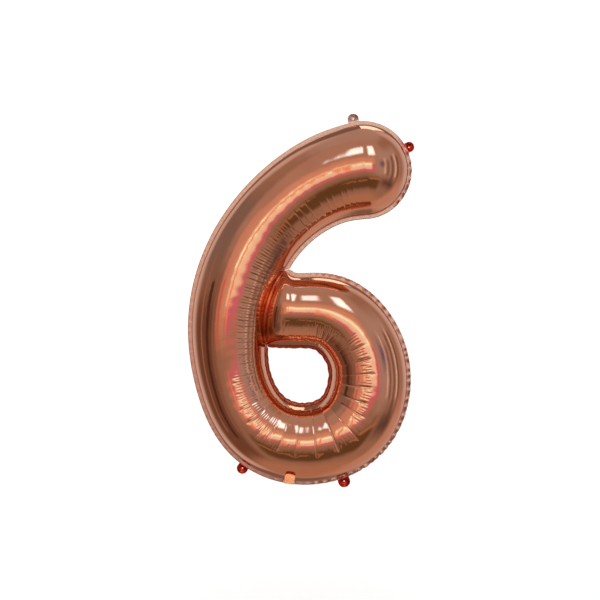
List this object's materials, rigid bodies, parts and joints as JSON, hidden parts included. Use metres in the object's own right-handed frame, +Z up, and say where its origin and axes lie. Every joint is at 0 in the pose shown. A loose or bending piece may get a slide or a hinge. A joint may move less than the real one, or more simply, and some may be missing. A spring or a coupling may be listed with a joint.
{
  "type": "foil number balloon",
  "caption": "Inflated foil balloon shaped as the figure 6, welded round its edge, with hanging ears and a folded inflation tail.",
  "frame": {"origin": "below the middle of the figure, in the weld plane, at the foot of the welded margin", "axes": "+Z up the figure, +X to the figure's right as it is read, -Y towards the reader"},
  "size_m": [0.5369, 0.2054, 0.8825],
  "materials": {
    "rose_gold_foil": "mirror-bright metallised film, wrinkled along the inner side of each curve",
    "welded_margin": "bright metallised film, heat sealed and ruffled",
    "ear_foil": "bright metallised film, cupped",
    "tail_film": "translucent amber film, lightly creased",
    "valve_film": "clear polyethylene film"
  },
  "bodies": {
    "envelope": {"front_sheet": "rose_gold_foil", "back_sheet": "rose_gold_foil", "outer_weld": "welded_margin", "counter_weld": "welded_margin", "valve_front_film": "valve_film", "valve_back_film": "valve_film"},
    "top_ear": {"top_hanging_ear": "ear_foil"},
    "tip_ear": {"tip_hanging_ear": "ear_foil"},
    "left_ear": {"left_foot_ear": "ear_foil"},
    "right_ear": {"right_foot_ear": "ear_foil"},
    "tail": {"tail_front_film": "tail_film", "tail_back_film": "tail_film"}
  },
  "joints": [
    {"name": "top_ear_fold", "type": "hinge", "parent": "envelope", "child": "top_ear", "pos_m": [0.1277, 0, 0.86278], "axis": [0.9828, 0, 0.1845], "range_deg": [-105, 105], "stiffness_Nm_per_rad": 0.0005},
    {"name": "tip_ear_fold", "type": "hinge", "parent": "envelope", "child": "tip_ear", "pos_m": [0.25434, 0, 0.8], "axis": [0.4482, 0, -0.8939], "range_deg": [-105, 105], "stiffness_Nm_per_rad": 0.0005},
    {"name": "left_ear_fold", "type": "hinge", "parent": "envelope", "child": "left_ear", "pos_m": [-0.13359, 0, 0.04373], "axis": [-0.831, 0, 0.5563], "range_deg": [-105, 105], "stiffness_Nm_per_rad": 0.0005},
    {"name": "right_ear_fold", "type": "hinge", "parent": "envelope", "child": "right_ear", "pos_m": [0.10289, 0, 0.01387], "axis": [-0.9421, 0, -0.3353], "range_deg": [-105, 105], "stiffness_Nm_per_rad": 0.0005},
    {"name": "inflation_tail_fold", "type": "hinge", "parent": "envelope", "child": "tail", "pos_m": [-0.02659, 0, 0.00171], "axis": [0.9908, 0, -0.1352], "range_deg": [0, 200], "stiffness_Nm_per_rad": 0.003}
  ]
}
